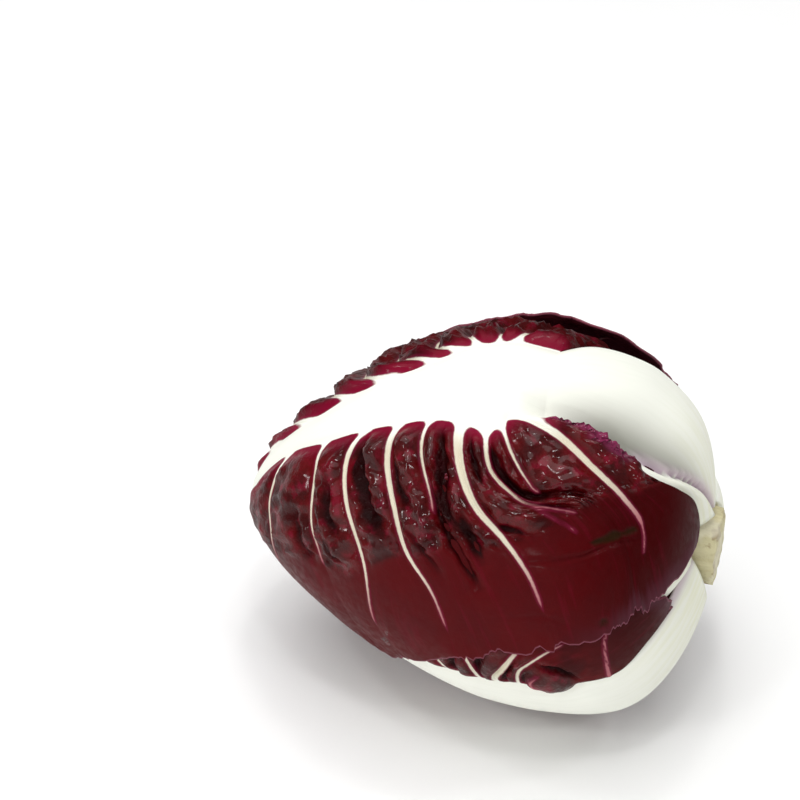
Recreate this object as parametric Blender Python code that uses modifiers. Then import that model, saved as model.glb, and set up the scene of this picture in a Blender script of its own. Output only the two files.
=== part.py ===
# A head of round radicchio, lying on its side. Metres, +Z up.
# The head's axis runs along X: the closed tip at -X, the cut stem at +X. The origin is on the surface
# that the head lies on, under its middle.

import bpy
import bmesh
import numpy as np
from mathutils import Vector

# Form of the whole head: a radius from its middle, told apart on the tip side and the stem side
GIRTH_RADIUS = 0.055
TIP_REACH = 0.082
BASE_REACH = 0.055
TIP_ROUNDNESS = 1.58
BASE_ROUNDNESS = 2.66
TIP_SOFTNESS = 0.06
STEM_LEAN = 0.115          # the axis drops by this share of its length towards the stem
TIP_DROOP = 0.020          # the tip hangs this much lower than the axis
STEM_RISE = 0.005          # the stem and the feet of the leaves sit this much higher than the axis
STEM_RISE_OVER = (0.60, 0.97)    # shares of straight to the stem between which that comes in

# Layers, as heights over the head's form
BLADE_THICKNESS = 0.001
TOP_LAYER = 0.0
LOW_LAYER = -0.0018
BACK_LAYER = 0.0018
INNER_LAYERS = (-0.0056, -0.0075, -0.0094)
HEART_LAYER = -0.0131
TIP_SPREAD = 1.3           # layers lie this share further apart at the tip
TIP_SPREAD_POWER = 4
REST_HEIGHT = 0.0564       # from the surface up to the head's middle
REST_BLEND = 0.0004        # how gently the flat spot runs out
REST_FULLNESS = 0.0036     # the underside is fuller here, so that the head lies under its weight
REST_FULL_AT = 0.27
REST_FULL_LENGTH = 0.24
REST_FULL_DOWN = (0.84, 0.97)    # it grows between these shares of straight down

# Ribs and veins, standing on their blade
RIB_GAP = 0.0006
RIB_EDGE = 0.0012
RIB_CROWN = 0.0022
VEIN_HEIGHT = 0.0007
VEIN_HALF_WIDTH = 0.016    # share of the rib's length, at the root of a vein
VEIN_TAPER = 0.7
CROWN_LOST = 0.9           # share of the rib's crown that is gone at the tip
CROWN_LOST_OVER = (-20.0, 100.0)
HEEL_OVER = (-12.0, -45.0)  # a petiole with a heel thickens towards the stem over this stretch

# Leaf plane, in degrees seen from the head's middle: x towards the tip, y across the rib
LEAF_CENTRE = 95.0
STEM_POLE = LEAF_CENTRE - 180.0
NOTCH = -12.0              # where the lobe of the blade leaves the rib
RIB_STOP = 4.0             # the rib ends this far before the blade's tip
RIB_SHARE = 0.2            # part of a row that lies on the rib
BOW_START = -10.0          # the rib bows to one side over this stretch
BOW_LENGTH = 130.0
LEAN_LENGTH = 71.0         # the petiole bows over this stretch
STRETCH_FROM = -50.0       # from here to the notch the leaf plane's stretch is made up for
STRETCH_MOST_AWAY = 85.0
TROUGH_FLAT = 5.8
TROUGH_RISE = 7.0
TIP_BEARING = 1.3          # bearing of the last row's end at the margin, and of the first one's
LOBE_BEARING = 176.0
ROW_SPREAD = 0.77
NEAR_SQUARENESS = 3.0      # how squarely the margin runs to the tip, on the -y side
LOBE_SQUARENESS = 1.6
EDGE_SCALLOP = 1.9         # how far the margin runs out between two veins

# Shares of the way from the rib to the margin
SWELL_RISES = (0.05, 0.35)
SWELL_ENDS = (0.6, 0.95)
LIFT_RISES = (0.8, 1.0)
LIFT_AT_VEINS = 0.4        # share of the margin's lift that is left where a vein meets it

# Each vein's place along the rib, as a share of the way from the notch to the tip, and its length
VEINS = (0.134, 0.20, 0.268, 0.36, 0.455, 0.5625, 0.66, 0.768, 0.87)
VEIN_LENGTHS = (0.72, 0.45, 0.86, 0.45, 0.86, 0.86, 0.45, 0.58, 0.58)
# Direction in which rows leave the rib: place along the rib, then degrees from the tip's direction
ROW_PLACES = (0.0, 0.134, 0.20, 0.268, 0.455, 0.5625, 0.66, 0.768, 1.0)
ROW_HEADINGS = (176.0, 158.0, 118.0, 102.0, 92.0, 88.0, 80.0, 60.0, 10.0)
# Half width of the rib: degrees along it, then degrees across
WIDTH_PLACES = (-71.0, -60.0, -45.0, -30.0, -12.0, 10.0, 30.0, 55.0, 80.0, 108.0)
HALF_WIDTHS = (11.0, 13.0, 16.0, 17.0, 15.0, 15.5, 13.5, 8.5, 5.0, 1.2)

# Grid of a leaf: steps across the blade, from the rib's edge to the margin
BLADE_STEPS = (0.0, 0.14, 0.28, 0.43, 0.58, 0.72, 0.86, 1.0)
INNER_STEPS = (0.0, 0.16, 0.38, 0.6, 0.8, 1.0)
STEPS_UNDER_RIB = 2
STEPS_ON_RIB = 4
PETIOLE_ROWS = 12
INNER_ROWS = 12
NOWHERE = (200.0, 201.0)   # a stretch past the end of every leaf

# Heart
HEART_SEGMENTS = 36
HEART_RINGS = 20
HEART_LEAVES = 5
HEART_FOLD = 0.0022
HEART_TWIST = 1.3

# Stem
STEM_RADIUS = 0.0125
STEM_BUTT_RADIUS = 0.0117
STEM_INNER_END = 0.0434
STEM_CUT_END = 0.0592
STEM_SIDES = 24
STEM_EDGE = 0.0008

TINY = 1e-6                # what counts as no difference, or as no length
COLLECTION = "radicchio_head"
WHITE = (0.86, 0.85, 0.72, 1.0)
MAROON = (0.13, 0.006, 0.022, 1.0)
STEM_GREEN = (0.60, 0.55, 0.32, 1.0)
HEART_PINK = (0.30, 0.05, 0.08, 1.0)
LEAF_ROUGHNESS = 0.4
HEART_ROUGHNESS = 0.5
STEM_ROUGHNESS = 0.7


def leaf(turn, layer, reach, start, bow=0.0, lean=0.0, width=1.0, crown=1.0,
         far_side=(0.0, NEAR_SQUARENESS), buried=NOWHERE, level=NOWHERE, dip=0.002,
         swell=(0.0, 0.0), lift=(0.0, 0.0), veins=(0.0, 0.0), heel=0.0, all_rows=True):
    # turn: angle of the rib round the head. reach: degrees to the tip, the sides and the lobes.
    # far_side: what the +y side has less of reach, and how squarely it runs to the tip.
    # start: degrees from the stem's middle to the rib's foot. bow and lean: how far the rib curves.
    # buried: where another leaf starts to press the rib flat. level: where the rib's trough runs out.
    # swell, lift and veins are pairs, for the -y side and the +y side.
    return dict(turn=turn, layer=layer, reach=reach, start=start, bow=bow, lean=lean, width=width,
                crown=crown, far_side=far_side, buried=buried, level=level, dip=dip, swell=swell,
                lift=lift, veins=veins, heel=heel, all_rows=all_rows)


INNER = dict(width=0.75, crown=0.5, dip=0.001, all_rows=False)
LEAVES = {
    "leaf_top": leaf(82.0, TOP_LAYER, (113.0, 95.0, 62.0), 15.0, bow=5.0, lean=5.0, far_side=(7.0, 1.0),
                     swell=(0.0019, 0.0), lift=(0.0012, 0.0), veins=(1.0, 0.2)),
    "leaf_low": leaf(-40.0, LOW_LAYER, (86.0, 88.0, 56.0), 15.0, bow=2.0, crown=1.3,
                     buried=(2.0, 14.0), heel=0.0026),
    "leaf_back": leaf(205.0, BACK_LAYER, (84.0, 86.0, 54.0), 14.6, bow=-2.0, level=(20.0, 45.0),
                      swell=(0.0016, 0.0012), lift=(0.0022, 0.0008), veins=(1.0, 0.45)),
    "leaf_inner_front": leaf(22.0, INNER_LAYERS[0], (86.0, 75.0, 55.0), 17.2, **INNER),
    "leaf_inner_rear": leaf(145.0, INNER_LAYERS[1], (86.0, 75.0, 55.0), 17.9, **INNER),
    "leaf_inner_under": leaf(265.0, INNER_LAYERS[2], (86.0, 75.0, 55.0), 18.6, **INNER),
}


def smooth_step(low, high, value):
    share = np.clip((value - low) / (high - low), 0.0, 1.0)
    return share * share * (3.0 - 2.0 * share)


def blend(first, second, share):
    return first * (1.0 - share) + second * share


def form_radius(tipward, across):
    reach = np.where(tipward > 0.0, TIP_REACH, BASE_REACH)
    power = np.where(tipward > 0.0, TIP_ROUNDNESS, BASE_ROUNDNESS)
    softened = np.hypot(across, TIP_SOFTNESS)
    total = np.abs(tipward / reach) ** power + (softened / GIRTH_RADIUS) ** power
    return total ** (-1.0 / power)


def place_on_head(direction, layer, height):
    # The point of a layer in a direction from the middle, height above it, with the flat spot pressed in
    tipward = -direction[..., 0]
    across = np.hypot(direction[..., 1], direction[..., 2])
    spread = 1.0 + TIP_SPREAD * np.clip(tipward, 0.0, 1.0) ** TIP_SPREAD_POWER
    down = -direction[..., 2] / np.maximum(across, TINY)
    under = smooth_step(REST_FULL_DOWN[0], REST_FULL_DOWN[1], down)
    fuller = REST_FULLNESS * under * np.exp(-((tipward - REST_FULL_AT) / REST_FULL_LENGTH) ** 2)
    radius = form_radius(tipward, across) + layer * spread + height + fuller
    point = direction * radius[..., None]
    to_tip = np.clip(-point[..., 0] / TIP_REACH, 0.0, 1.0)
    rise = STEM_RISE * smooth_step(STEM_RISE_OVER[0], STEM_RISE_OVER[1], -tipward)
    level = REST_HEIGHT + point[..., 2] - STEM_LEAN * point[..., 0] - TIP_DROOP * to_tip ** 2 + rise
    floor = BACK_LAYER - layer
    near = np.clip(REST_BLEND - np.abs(level - floor), 0.0, REST_BLEND) / REST_BLEND
    point[..., 2] = np.maximum(level, floor) + near ** 2 * REST_BLEND / 4.0
    return point


def leaf_direction(this, x, y):
    turn, centre = np.radians(this["turn"]), np.radians(LEAF_CENTRE)
    outward = np.array([0.0, -np.cos(turn), np.sin(turn)])
    axis = np.array([1.0, 0.0, 0.0])
    middle = -np.cos(centre) * axis + np.sin(centre) * outward
    tipwards = -(np.sin(centre) * axis + np.cos(centre) * outward)
    sideways = np.cross(tipwards, middle)
    away = np.radians(np.hypot(x, y))
    bearing = np.arctan2(y, x)
    flat = np.cos(bearing)[..., None] * tipwards + np.sin(bearing)[..., None] * sideways
    return np.cos(away)[..., None] * middle + np.sin(away)[..., None] * flat


def rib_centre(this, along):
    bowed = -this["bow"] * np.sin(np.pi * (along - BOW_START) / BOW_LENGTH)
    return bowed + this["lean"] * np.sin(np.pi * np.clip(-along / LEAN_LENGTH, 0.0, 1.0))


def rib_end(this):
    return this["reach"][0] - RIB_STOP


def rib_half_width(this, along):
    towards_tip = along * WIDTH_PLACES[-1] / rib_end(this)
    place = np.where(along > 0.0, towards_tip, along)
    return this["width"] * np.interp(place, WIDTH_PLACES, HALF_WIDTHS)


def margin_reach(this, bearing, side_of_rib):
    tip, side, lobe = this["reach"]
    less, squareness = this["far_side"]
    side = np.where(side_of_rib > 0.0, side - less, side)
    power = np.where(side_of_rib > 0.0, squareness, NEAR_SQUARENESS)
    before = side + (tip - side) * (1.0 - np.clip(bearing / 90.0, 0.0, 1.0) ** power)
    past_side = np.clip(bearing / 90.0 - 1.0, 0.0, 1.0)
    behind = lobe + (side - lobe) * (1.0 - past_side) ** LOBE_SQUARENESS
    return np.where(bearing < 90.0, before, behind)


def row_place(this, row):
    # Degrees along the rib: rows below 0 cross the petiole, rows from 0 to 1 carry the blade
    foot = STEM_POLE + this["start"]
    return np.where(row < 0.0, NOTCH + (NOTCH - foot) * row, NOTCH + (rib_end(this) - NOTCH) * row)


def plane_stretch(along):
    # How much wider the leaf plane draws a stretch across the rib, near the stem
    away = np.radians(np.clip(np.abs(along), 1.0, STRETCH_MOST_AWAY))
    closing = 1.0 - smooth_step(STRETCH_FROM, NOTCH, along)
    return blend(1.0, away / np.sin(away), closing), closing


def rib_point(this, row, share):
    # share runs from -1 to 1 across the rib. Near the stem the rows are arcs round its middle.
    along = row_place(this, row)
    across = rib_centre(this, along) + rib_half_width(this, along) * share
    far = along - STEM_POLE
    angle = across / far
    stretch, closing = plane_stretch(along)
    x = blend(along, STEM_POLE + far * np.cos(angle), closing)
    y = blend(across, far * np.sin(angle), closing) * stretch
    return x, y


def between_veins(row):
    # 0 at a vein, 1 halfway to the next one
    phase = np.interp(row, (0.0,) + VEINS + (1.0,), np.arange(len(VEINS) + 2.0))
    return np.sin(np.pi * phase) ** 2


def leaf_point(this, row, column):
    # column runs from -1, one margin, over the rib to 1, the other margin
    side = np.where(column < 0.0, -1.0, 1.0)
    root_x, root_y = rib_point(this, row, np.clip(column / RIB_SHARE, -1.0, 1.0))
    out = np.clip((np.abs(column) - RIB_SHARE) / (1.0 - RIB_SHARE), 0.0, 1.0)
    place = np.clip(row, 0.0, 1.0)
    bearing = TIP_BEARING + (LOBE_BEARING - TIP_BEARING) * (1.0 - place ** ROW_SPREAD)
    reach = margin_reach(this, bearing, side) + EDGE_SCALLOP * (between_veins(place) - 0.5)
    margin_x = reach * np.cos(np.radians(bearing))
    margin_y = side * reach * np.sin(np.radians(bearing))
    heading = np.radians(np.interp(place, ROW_PLACES, ROW_HEADINGS))
    half = 0.5 * np.hypot(margin_x - root_x, margin_y - root_y)
    bend_x = root_x + half * np.cos(heading)
    bend_y = root_y + side * half * np.sin(heading)
    x = (1.0 - out) ** 2 * root_x + 2.0 * out * (1.0 - out) * bend_x + out ** 2 * margin_x
    y = (1.0 - out) ** 2 * root_y + 2.0 * out * (1.0 - out) * bend_y + out ** 2 * margin_y
    return x, y, out, side


def beside_rib(this, x, y):
    # 0 on the rib and close to it, 1 where the blade is clear of it
    stretch, closing = plane_stretch(x)
    beside = np.abs(y - rib_centre(this, x) * stretch) - rib_half_width(this, x) * stretch
    return smooth_step(TROUGH_FLAT, TROUGH_FLAT + TROUGH_RISE, beside)


def puff(this, row, out, side):
    # The blade swells between its veins, and its free margins stand off a little
    between = between_veins(row)
    swell = np.where(side < 0.0, this["swell"][0], this["swell"][1])
    lift = np.where(side < 0.0, this["lift"][0], this["lift"][1])
    body = smooth_step(SWELL_RISES[0], SWELL_RISES[1], out)
    body = body * (1.0 - smooth_step(SWELL_ENDS[0], SWELL_ENDS[1], out))
    edge = smooth_step(LIFT_RISES[0], LIFT_RISES[1], out) * blend(LIFT_AT_VEINS, 1.0, between)
    return swell * between * body + lift * edge


def blade_height(this, x, y, row, out, side):
    # The blade sinks under its own rib, and puffs up where it is clear of it
    clear = beside_rib(this, x, y)
    runs_out = 1.0 - smooth_step(this["level"][0], this["level"][1], x)
    return clear * puff(this, row, out, side) - (1.0 - clear) * runs_out * this["dip"]


def new_material(name, colour, roughness):
    material = bpy.data.materials.new(name)
    material.use_nodes = True
    shader = material.node_tree.nodes["Principled BSDF"]
    shader.inputs["Base Color"].default_value = colour
    shader.inputs["Roughness"].default_value = roughness
    shader.inputs["Metallic"].default_value = 0.0
    return material


def new_object(name, mesh, colour, roughness):
    thing = bpy.data.objects.new(name, mesh)
    mesh.materials.append(new_material(name, colour, roughness))
    bpy.data.collections[COLLECTION].objects.link(thing)
    return thing


def solid_sheet(name, rows, columns, position, keep, thickness, outwards, colour):
    # A grid of rows and columns laid on the head, without the faces that keep() turns down, made solid.
    # position() gives each point of the grid its place and its share of the thickness.
    mesh = bpy.data.meshes.new(name)
    sheet = bmesh.new()
    bmesh.ops.create_grid(sheet, x_segments=len(columns) - 1, y_segments=len(rows) - 1, size=1.0)
    row_of, column_of = {}, {}
    for vertex in sheet.verts:
        column_of[vertex] = round((vertex.co.x + 1.0) / 2.0 * (len(columns) - 1))
        row_of[vertex] = round((vertex.co.y + 1.0) / 2.0 * (len(rows) - 1))
    unwanted = []
    for face in sheet.faces:
        low_row = min(row_of[vertex] for vertex in face.verts)
        low_column = min(column_of[vertex] for vertex in face.verts)
        if not keep(low_row, low_column):
            unwanted.append(face)
    vertices = list(sheet.verts)
    row_index = np.array([row_of[vertex] for vertex in vertices])
    column_index = np.array([column_of[vertex] for vertex in vertices])
    places, depths = position(row_index, column_index)
    for vertex, place in zip(vertices, places):
        vertex.co = place
    weight_of = {vertex: float(depth) for vertex, depth in zip(vertices, depths)}
    bmesh.ops.delete(sheet, geom=unwanted, context="FACES")
    bmesh.ops.recalc_face_normals(sheet, faces=sheet.faces)
    middle = Vector((0.0, 0.0, REST_HEIGHT))
    if sum(face.normal.dot(face.calc_center_median() - middle) for face in sheet.faces) < 0.0:
        bmesh.ops.reverse_faces(sheet, faces=sheet.faces)
    sheet.verts.index_update()
    weights = [weight_of[vertex] for vertex in sheet.verts]
    sheet.to_mesh(mesh)
    sheet.free()
    thing = new_object(name, mesh, colour, LEAF_ROUGHNESS)
    group = thing.vertex_groups.new(name="thickness")
    for index, weight in enumerate(weights):
        group.add([index], weight, "REPLACE")
    triangles = thing.modifiers.new("triangles", "TRIANGULATE")
    triangles.quad_method = "SHORTEST_DIAGONAL"
    shell = thing.modifiers.new("shell", "SOLIDIFY")
    shell.thickness = thickness
    shell.offset = 1.0 if outwards else -1.0
    shell.use_rim = True
    shell.vertex_group = "thickness"
    mesh.shade_smooth()
    return thing


def across_steps(steps, rib_steps):
    outer = RIB_SHARE + (1.0 - RIB_SHARE) * np.array(steps)
    inner = RIB_SHARE * np.linspace(-1.0, 1.0, rib_steps + 1)[1:-1]
    return np.concatenate([-outer[::-1], inner, outer])


def make_blade(name, this):
    if this["all_rows"]:
        marks = np.array((0.0,) + VEINS + (1.0,))
        rows = np.sort(np.concatenate([marks, (marks[:-1] + marks[1:]) / 2.0]))
        columns = across_steps(BLADE_STEPS, STEPS_UNDER_RIB)
    else:
        rows = np.linspace(0.0, 1.0, INNER_ROWS)
        columns = across_steps(INNER_STEPS, STEPS_UNDER_RIB)

    def position(row_index, column_index):
        row = rows[row_index]
        x, y, out, side = leaf_point(this, row, columns[column_index])
        height = blade_height(this, x, y, row, out, side)
        place = place_on_head(leaf_direction(this, x, y), this["layer"], height)
        return place, np.ones(len(row))

    return solid_sheet(name + "_blade", rows, columns, position, lambda row, column: True,
                       BLADE_THICKNESS, False, MAROON)


def rib_rows(this):
    # Rows of the rib, as place, side step of a vein's edge, and which vein starts there
    rows = [(place, 0.0, None) for place in np.linspace(-1.0, 0.0, PETIOLE_ROWS)]
    if this["all_rows"]:
        rows.append((VEINS[0] / 2.0, 0.0, None))
        for number, place in enumerate(VEINS):
            rows.append((place, -VEIN_HALF_WIDTH, number))
            rows.append((place, VEIN_HALF_WIDTH, None))
        rows.append((0.5 * (VEINS[-1] + 1.0), 0.0, None))
        rows.append((1.0, 0.0, None))
    else:
        rows += [(place, 0.0, None) for place in np.linspace(0.0, 1.0, INNER_ROWS)[1:]]
    return rows


def make_rib(name, this):
    rows = rib_rows(this)
    columns = across_steps(BLADE_STEPS, STEPS_ON_RIB)
    places = np.array([row[0] for row in rows])
    steps = np.array([row[1] for row in rows])
    greatest = RIB_EDGE + RIB_CROWN * this["crown"] + this["heel"]

    def keep(row, column):
        left, right = columns[column], columns[column + 1]
        if max(abs(left), abs(right)) <= RIB_SHARE + TINY:
            return True
        vein = rows[row][2]
        if vein is None:
            return False
        far = (max(abs(left), abs(right)) - RIB_SHARE) / (1.0 - RIB_SHARE)
        share = this["veins"][0] if left < 0.0 else this["veins"][1]
        return far <= VEIN_LENGTHS[vein] * share + TINY

    def position(row_index, column_index):
        column = columns[column_index]
        out = np.clip((np.abs(column) - RIB_SHARE) / (1.0 - RIB_SHARE), 0.0, 1.0)
        row = places[row_index] + steps[row_index] * (1.0 - VEIN_TAPER * np.sqrt(out))
        x, y, out, side = leaf_point(this, row, column)
        height = blade_height(this, x, y, places[row_index], out, side) + RIB_GAP
        place = place_on_head(leaf_direction(this, x, y), this["layer"], height)
        along = row_place(this, row)
        pressed = 1.0 - smooth_step(this["buried"][0], this["buried"][1], along)
        slender = 1.0 - CROWN_LOST * smooth_step(CROWN_LOST_OVER[0], CROWN_LOST_OVER[1], along)
        round_top = np.clip(1.0 - (column / RIB_SHARE) ** 2, 0.0, 1.0)
        thicker = this["heel"] * smooth_step(-HEEL_OVER[0], -HEEL_OVER[1], -along)
        crown = RIB_CROWN * this["crown"] * pressed * slender + thicker
        depth = np.where(out > 0.0, VEIN_HEIGHT, RIB_EDGE + crown * round_top)
        return place, depth / greatest

    return solid_sheet(name + "_rib", rows, columns, position, keep, greatest, True, WHITE)


def make_heart():
    # The dense inner head. Its leaves wrap round it, each starting under the last one's raised margin.
    mesh = bpy.data.meshes.new("heart")
    ball = bmesh.new()
    bmesh.ops.create_uvsphere(ball, u_segments=HEART_SEGMENTS, v_segments=HEART_RINGS, radius=1.0)
    for vertex in ball.verts:
        direction = np.array([-vertex.co.z, -vertex.co.x, vertex.co.y])
        direction = direction / np.linalg.norm(direction)
        round_axis = np.arctan2(direction[2], -direction[1]) / (2.0 * np.pi)
        fold = (HEART_LEAVES * round_axis + HEART_TWIST * direction[0]) % 1.0
        slope = np.hypot(direction[1], direction[2])
        height = -HEART_FOLD * slope * fold
        vertex.co = place_on_head(direction, HEART_LAYER, np.array(height))
    ball.to_mesh(mesh)
    ball.free()
    mesh.shade_smooth()
    return new_object("heart", mesh, HEART_PINK, HEART_ROUGHNESS)


def make_stem():
    # The cut butt: a short round block on the head's axis, a little narrower at the cut
    mesh = bpy.data.meshes.new("stem")
    block = bmesh.new()
    bmesh.ops.create_cone(block, cap_ends=True, segments=STEM_SIDES, radius1=STEM_RADIUS,
                          radius2=STEM_BUTT_RADIUS, depth=STEM_CUT_END - STEM_INNER_END)
    block.to_mesh(mesh)
    block.free()
    stem = new_object("stem", mesh, STEM_GREEN, STEM_ROUGHNESS)
    middle = 0.5 * (STEM_INNER_END + STEM_CUT_END)
    stem.location = (middle, 0.0, REST_HEIGHT - STEM_LEAN * middle + STEM_RISE)
    stem.rotation_euler = (0.0, np.pi / 2.0 + np.arctan(STEM_LEAN), 0.0)
    edge = stem.modifiers.new("edge", "BEVEL")
    edge.width = STEM_EDGE
    edge.segments = 1
    return stem


def clear_scene():
    for thing in list(bpy.data.objects):
        bpy.data.objects.remove(thing, do_unlink=True)


def make_head():
    clear_scene()
    parts = bpy.data.collections.new(COLLECTION)
    bpy.context.scene.collection.children.link(parts)
    make_stem()
    make_heart()
    for name, this in LEAVES.items():
        make_blade(name, this)
        make_rib(name, this)


make_head()
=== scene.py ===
import math
import bpy
import numpy as np
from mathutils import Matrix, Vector, noise


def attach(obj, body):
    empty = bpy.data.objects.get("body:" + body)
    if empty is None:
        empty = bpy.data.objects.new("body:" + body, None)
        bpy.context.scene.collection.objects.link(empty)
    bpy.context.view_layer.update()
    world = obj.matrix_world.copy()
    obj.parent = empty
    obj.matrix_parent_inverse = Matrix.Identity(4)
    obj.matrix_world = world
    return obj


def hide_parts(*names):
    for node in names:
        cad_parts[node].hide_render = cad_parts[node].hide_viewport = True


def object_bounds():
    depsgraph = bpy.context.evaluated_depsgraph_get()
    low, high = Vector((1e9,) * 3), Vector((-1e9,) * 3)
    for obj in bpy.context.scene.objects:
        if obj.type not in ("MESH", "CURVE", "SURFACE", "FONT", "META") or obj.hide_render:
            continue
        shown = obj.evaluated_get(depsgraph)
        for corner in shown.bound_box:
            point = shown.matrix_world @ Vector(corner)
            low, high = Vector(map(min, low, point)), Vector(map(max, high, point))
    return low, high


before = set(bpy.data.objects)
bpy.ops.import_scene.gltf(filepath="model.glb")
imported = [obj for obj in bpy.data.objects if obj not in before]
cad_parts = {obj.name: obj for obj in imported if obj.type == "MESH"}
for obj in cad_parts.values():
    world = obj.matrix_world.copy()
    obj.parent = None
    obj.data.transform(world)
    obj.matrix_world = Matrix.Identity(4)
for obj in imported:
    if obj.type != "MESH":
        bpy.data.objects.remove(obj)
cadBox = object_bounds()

# A head of round radicchio on its side: tip at -X, cut stem at +X, metres. A leaf is laid out in its
# own plane, in degrees seen from the head's middle: x runs to the tip, y across the rib.

mm = 0.001

head = dict(
    girth=0.055, tipReach=0.082, baseReach=0.055, tipRoundness=1.58, baseRoundness=2.66, tipSoftness=0.06,
    stemLean=0.115, tipDroop=0.020, tipSpread=1.3, spreadPower=4,
    middle=0.0564, lowest=1.8 * mm, restBlend=0.4 * mm,
    fullness=3.6 * mm, fullAt=0.27, fullLength=0.24, fullDown=(0.84, 0.97),
    stemRise=5.0 * mm, stemRiseOver=(0.60, 0.97),
    leafCentre=95.0, stemPole=-85.0, notch=-12.0, boxEase=1.5 * mm,
)


# small helpers

def smoothStep(low, high, value):
    share = np.clip((value - low) / (high - low), 0.0, 1.0)
    return share * share * (3.0 - 2.0 * share)


def mixed(first, second, share):
    return first * (1.0 - share) + second * share


def hump(value, centre, width):
    return np.exp(-((value - centre) / width) ** 2)


def throughPoints(before, start, end, after, share):
    return 0.5 * (2.0 * start + (end - before) * share
                  + (2.0 * before - 5.0 * start + 4.0 * end - after) * share ** 2
                  + (3.0 * start - before - 3.0 * end + after) * share ** 3)


def withEnds(points):
    first, last = 2.0 * points[0] - points[1], 2.0 * points[-1] - points[-2]
    return np.concatenate([[first], points, [last]])


def smoothLine(points, count):
    # a smooth curve through the points, as count points at equal steps along it
    points = np.array(points, float)
    ends = withEnds(points)
    share = np.linspace(0.0, 1.0, 20, endpoint=False)[:, None]
    runs = [throughPoints(ends[i], ends[i + 1], ends[i + 2], ends[i + 3], share)
            for i in range(len(points) - 1)]
    fine = np.vstack(runs + [points[-1:]])
    length = np.concatenate([[0.0], np.cumsum(np.linalg.norm(np.diff(fine, axis=0), axis=1))])
    at = np.linspace(0.0, length[-1], count)
    return np.stack([np.interp(at, length, fine[:, 0]), np.interp(at, length, fine[:, 1])], axis=1)


def betweenCurves(curves, phase):
    # rows between the curves of a leaf's side: at a whole phase, the row is that curve
    ends = withEnds(curves)
    low = np.clip(np.floor(phase).astype(int), 0, len(curves) - 2)
    share = (phase - low).reshape((-1,) + (1,) * (curves.ndim - 1))
    return throughPoints(ends[low], ends[low + 1], ends[low + 2], ends[low + 3], share)


def noiseAt(seed, x, y=0.0, z=0.0):
    x, y, z = np.broadcast_arrays(x, y, z)
    points = np.stack([x, y, z], axis=-1).reshape(-1, 3) + seed * 17.31
    values = [noise.noise(Vector(point)) for point in points.tolist()]
    return np.array(values).reshape(x.shape)


def softLeast(first, second, reach):
    near = np.maximum(reach - np.abs(first - second), 0.0) / reach
    return np.minimum(first, second) - near ** 2 * reach / 4.0


# the head's form, as in the frame

def formRadius(tipward, across):
    reach = np.where(tipward > 0.0, head["tipReach"], head["baseReach"])
    power = np.where(tipward > 0.0, head["tipRoundness"], head["baseRoundness"])
    softened = np.hypot(across, head["tipSoftness"])
    return (np.abs(tipward / reach) ** power + (softened / head["girth"]) ** power) ** (-1.0 / power)


def placeOnHead(direction, layer, height, thickness=0.0):
    # the point of a layer in a direction from the middle, at a height above it
    tipward = -direction[..., 0]
    across = np.hypot(direction[..., 1], direction[..., 2])
    spread = 1.0 + head["tipSpread"] * np.clip(tipward, 0.0, 1.0) ** head["spreadPower"]
    down = -direction[..., 2] / np.maximum(across, 1e-6)
    under = smoothStep(*head["fullDown"], down)
    fuller = head["fullness"] * under * hump(tipward, head["fullAt"], head["fullLength"])
    radius = formRadius(tipward, across) + layer * spread + height + fuller
    point = direction * radius[..., None]
    toTip = np.clip(-point[..., 0] / head["tipReach"], 0.0, 1.0)
    rise = head["stemRise"] * smoothStep(*head["stemRiseOver"], -tipward)
    level = head["middle"] + rise + point[..., 2]
    level = level - head["stemLean"] * point[..., 0] - head["tipDroop"] * toTip ** 2
    floor = head["lowest"] - layer + thickness
    near = np.clip(head["restBlend"] - np.abs(level - floor), 0.0, None) / head["restBlend"]
    point[..., 2] = np.maximum(level, floor) + near ** 2 * head["restBlend"] / 4.0
    return point


def leafDirection(leaf, plane):
    turn, centre = math.radians(leaf["turn"]), math.radians(head["leafCentre"])
    outward = np.array([0.0, -math.cos(turn), math.sin(turn)])
    axis = np.array([1.0, 0.0, 0.0])
    middle = -math.cos(centre) * axis + math.sin(centre) * outward
    tipwards = -(math.sin(centre) * axis + math.cos(centre) * outward)
    sideways = np.cross(tipwards, middle)
    away = np.radians(np.hypot(plane[..., 0], plane[..., 1]))[..., None]
    bearing = np.arctan2(plane[..., 1], plane[..., 0])[..., None]
    flat = np.cos(bearing) * tipwards + np.sin(bearing) * sideways
    return np.cos(away) * middle + np.sin(away) * flat


def insideFrame(points):
    # eases what stands out of the frame's box back into it, sides and top
    low, high = np.array(cadBox[0]), np.array(cadBox[1])
    low[2] = -1.0
    ease = head["boxEase"]
    over, under = points - (high - ease), (low + ease) - points
    points = np.where(over > 0.0, high - ease * np.exp(-np.maximum(over, 0.0) / ease), points)
    return np.where(under > 0.0, low + ease * np.exp(-np.maximum(under, 0.0) / ease), points)


def onForm(leaf, plane):
    return placeOnHead(leafDirection(leaf, plane), leaf["layer"], np.zeros(plane.shape[:-1]))


# leaves that follow the frame's rule for rows and veins

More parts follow.
